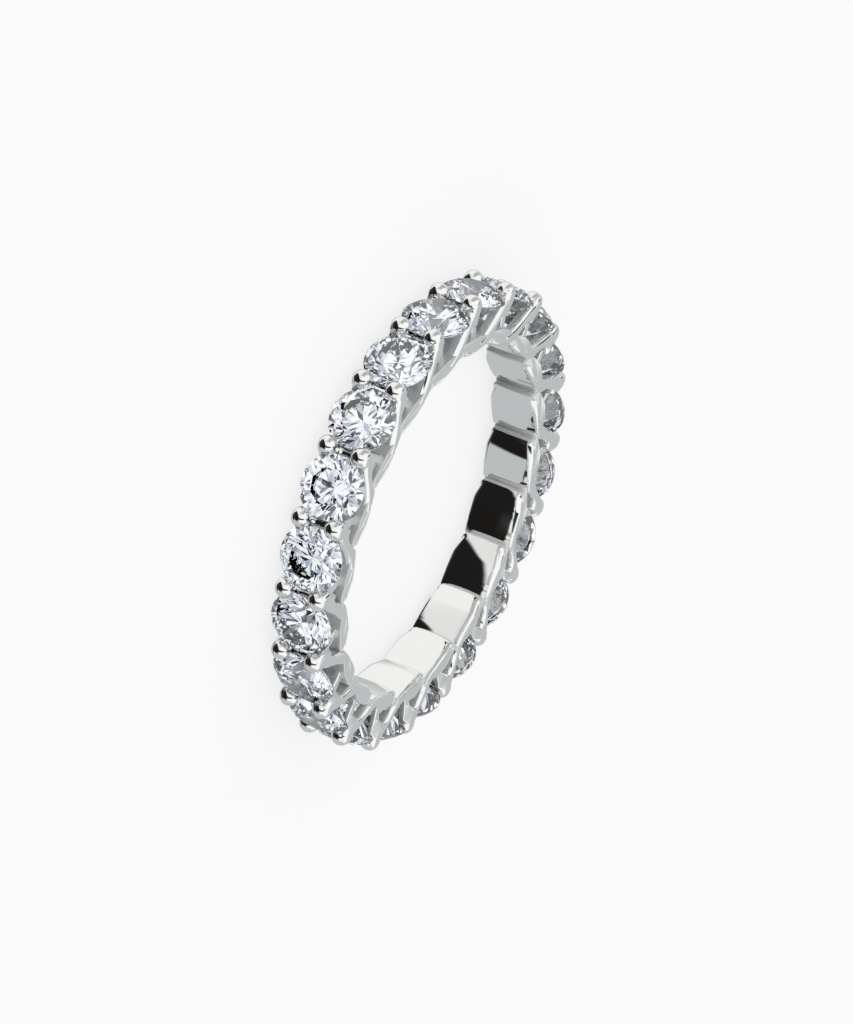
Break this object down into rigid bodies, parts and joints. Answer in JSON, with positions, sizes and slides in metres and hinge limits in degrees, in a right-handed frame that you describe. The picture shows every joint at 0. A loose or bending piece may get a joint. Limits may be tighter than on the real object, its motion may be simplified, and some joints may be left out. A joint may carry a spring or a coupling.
{
  "type": "eternity ring",
  "caption": "White metal finger ring set all round with equal round brilliant stones in shared prongs, over pierced side walls and overlapping base leaves.",
  "frame": {"origin": "middle of the underside of the overall box, on the axis of the ring; the lower girdle edges of the stones touch z = 0", "axes": "+Z along the axis of the ring, towards the side seen in the picture; -Y towards the first stone"},
  "size_m": [0.022, 0.022, 0.0031],
  "materials": {
    "metal": "mirror polish",
    "stone": "polished facets"
  },
  "bodies": {
    "root": {"setting": "metal", "stone_01": "stone", "stone_02": "stone", "stone_03": "stone", "stone_04": "stone", "stone_05": "stone", "stone_06": "stone", "stone_07": "stone", "stone_08": "stone", "stone_09": "stone", "stone_10": "stone", "stone_11": "stone", "stone_12": "stone", "stone_13": "stone", "stone_14": "stone", "stone_15": "stone", "stone_16": "stone", "stone_17": "stone", "stone_18": "stone", "stone_19": "stone", "stone_20": "stone"}
  },
  "joints": []
}
